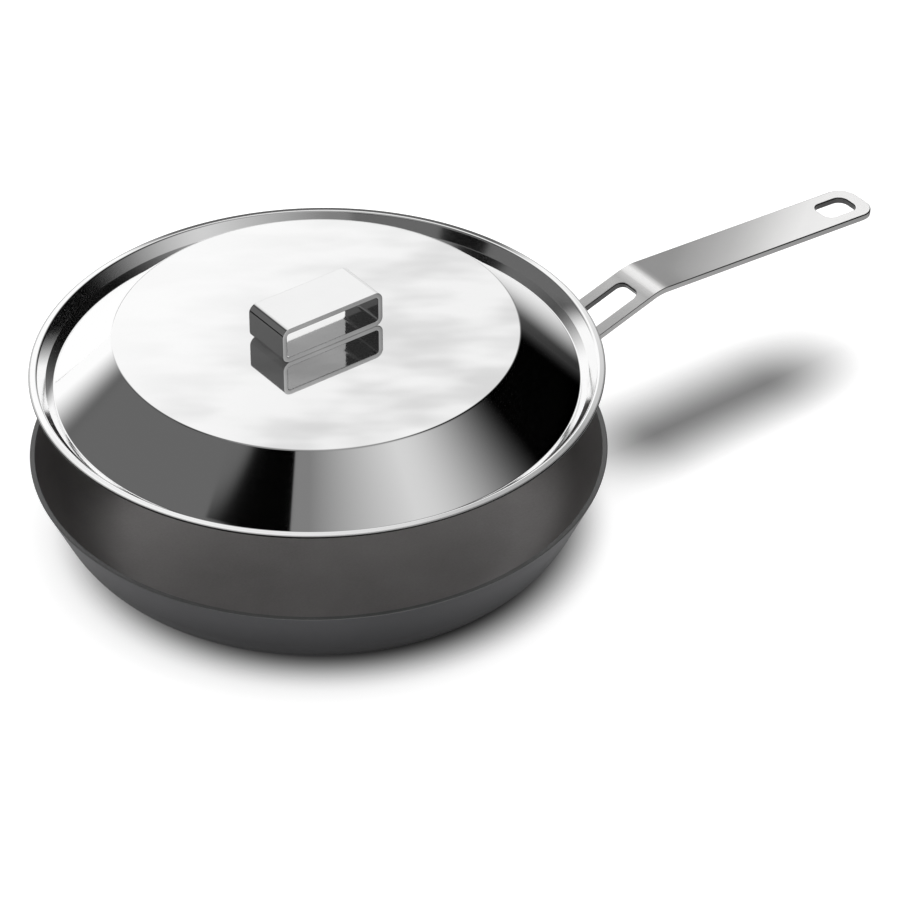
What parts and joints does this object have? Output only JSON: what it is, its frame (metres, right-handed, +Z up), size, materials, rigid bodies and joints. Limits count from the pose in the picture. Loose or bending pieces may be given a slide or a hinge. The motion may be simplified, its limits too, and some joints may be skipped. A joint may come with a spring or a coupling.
{
  "type": "lidded frying pan",
  "caption": "Shallow carbon steel frying pan with a flared wall and a forked flat bar handle, under a pressed flat-topped steel lid that lifts off by its rectangular ring knob.",
  "frame": {"origin": "centre of the pan's flat underside, where it stands on a hob or table", "axes": "+X from the pan's centre along the handle, +Z up, +Y to the handle's left as seen from the pan"},
  "size_m": [0.4831, 0.28, 0.1325],
  "materials": {
    "carbon_steel": "dark blued, satin",
    "satin_steel": "fine satin",
    "rivet_steel": "satin",
    "lid_steel": "mirror polished",
    "knob_steel": "mirror polished"
  },
  "bodies": {
    "pan": {"pan_body": "carbon_steel", "pan_handle": "satin_steel", "handle_rivets": "rivet_steel"},
    "lid": {"lid_shell": "lid_steel", "lid_knob": "knob_steel"}
  },
  "joints": [
    {"name": "lid_lift", "type": "slide", "parent": "pan", "child": "lid", "axis": [0, 0, 1], "range_m": [-0.04525, 0.06]}
  ]
}
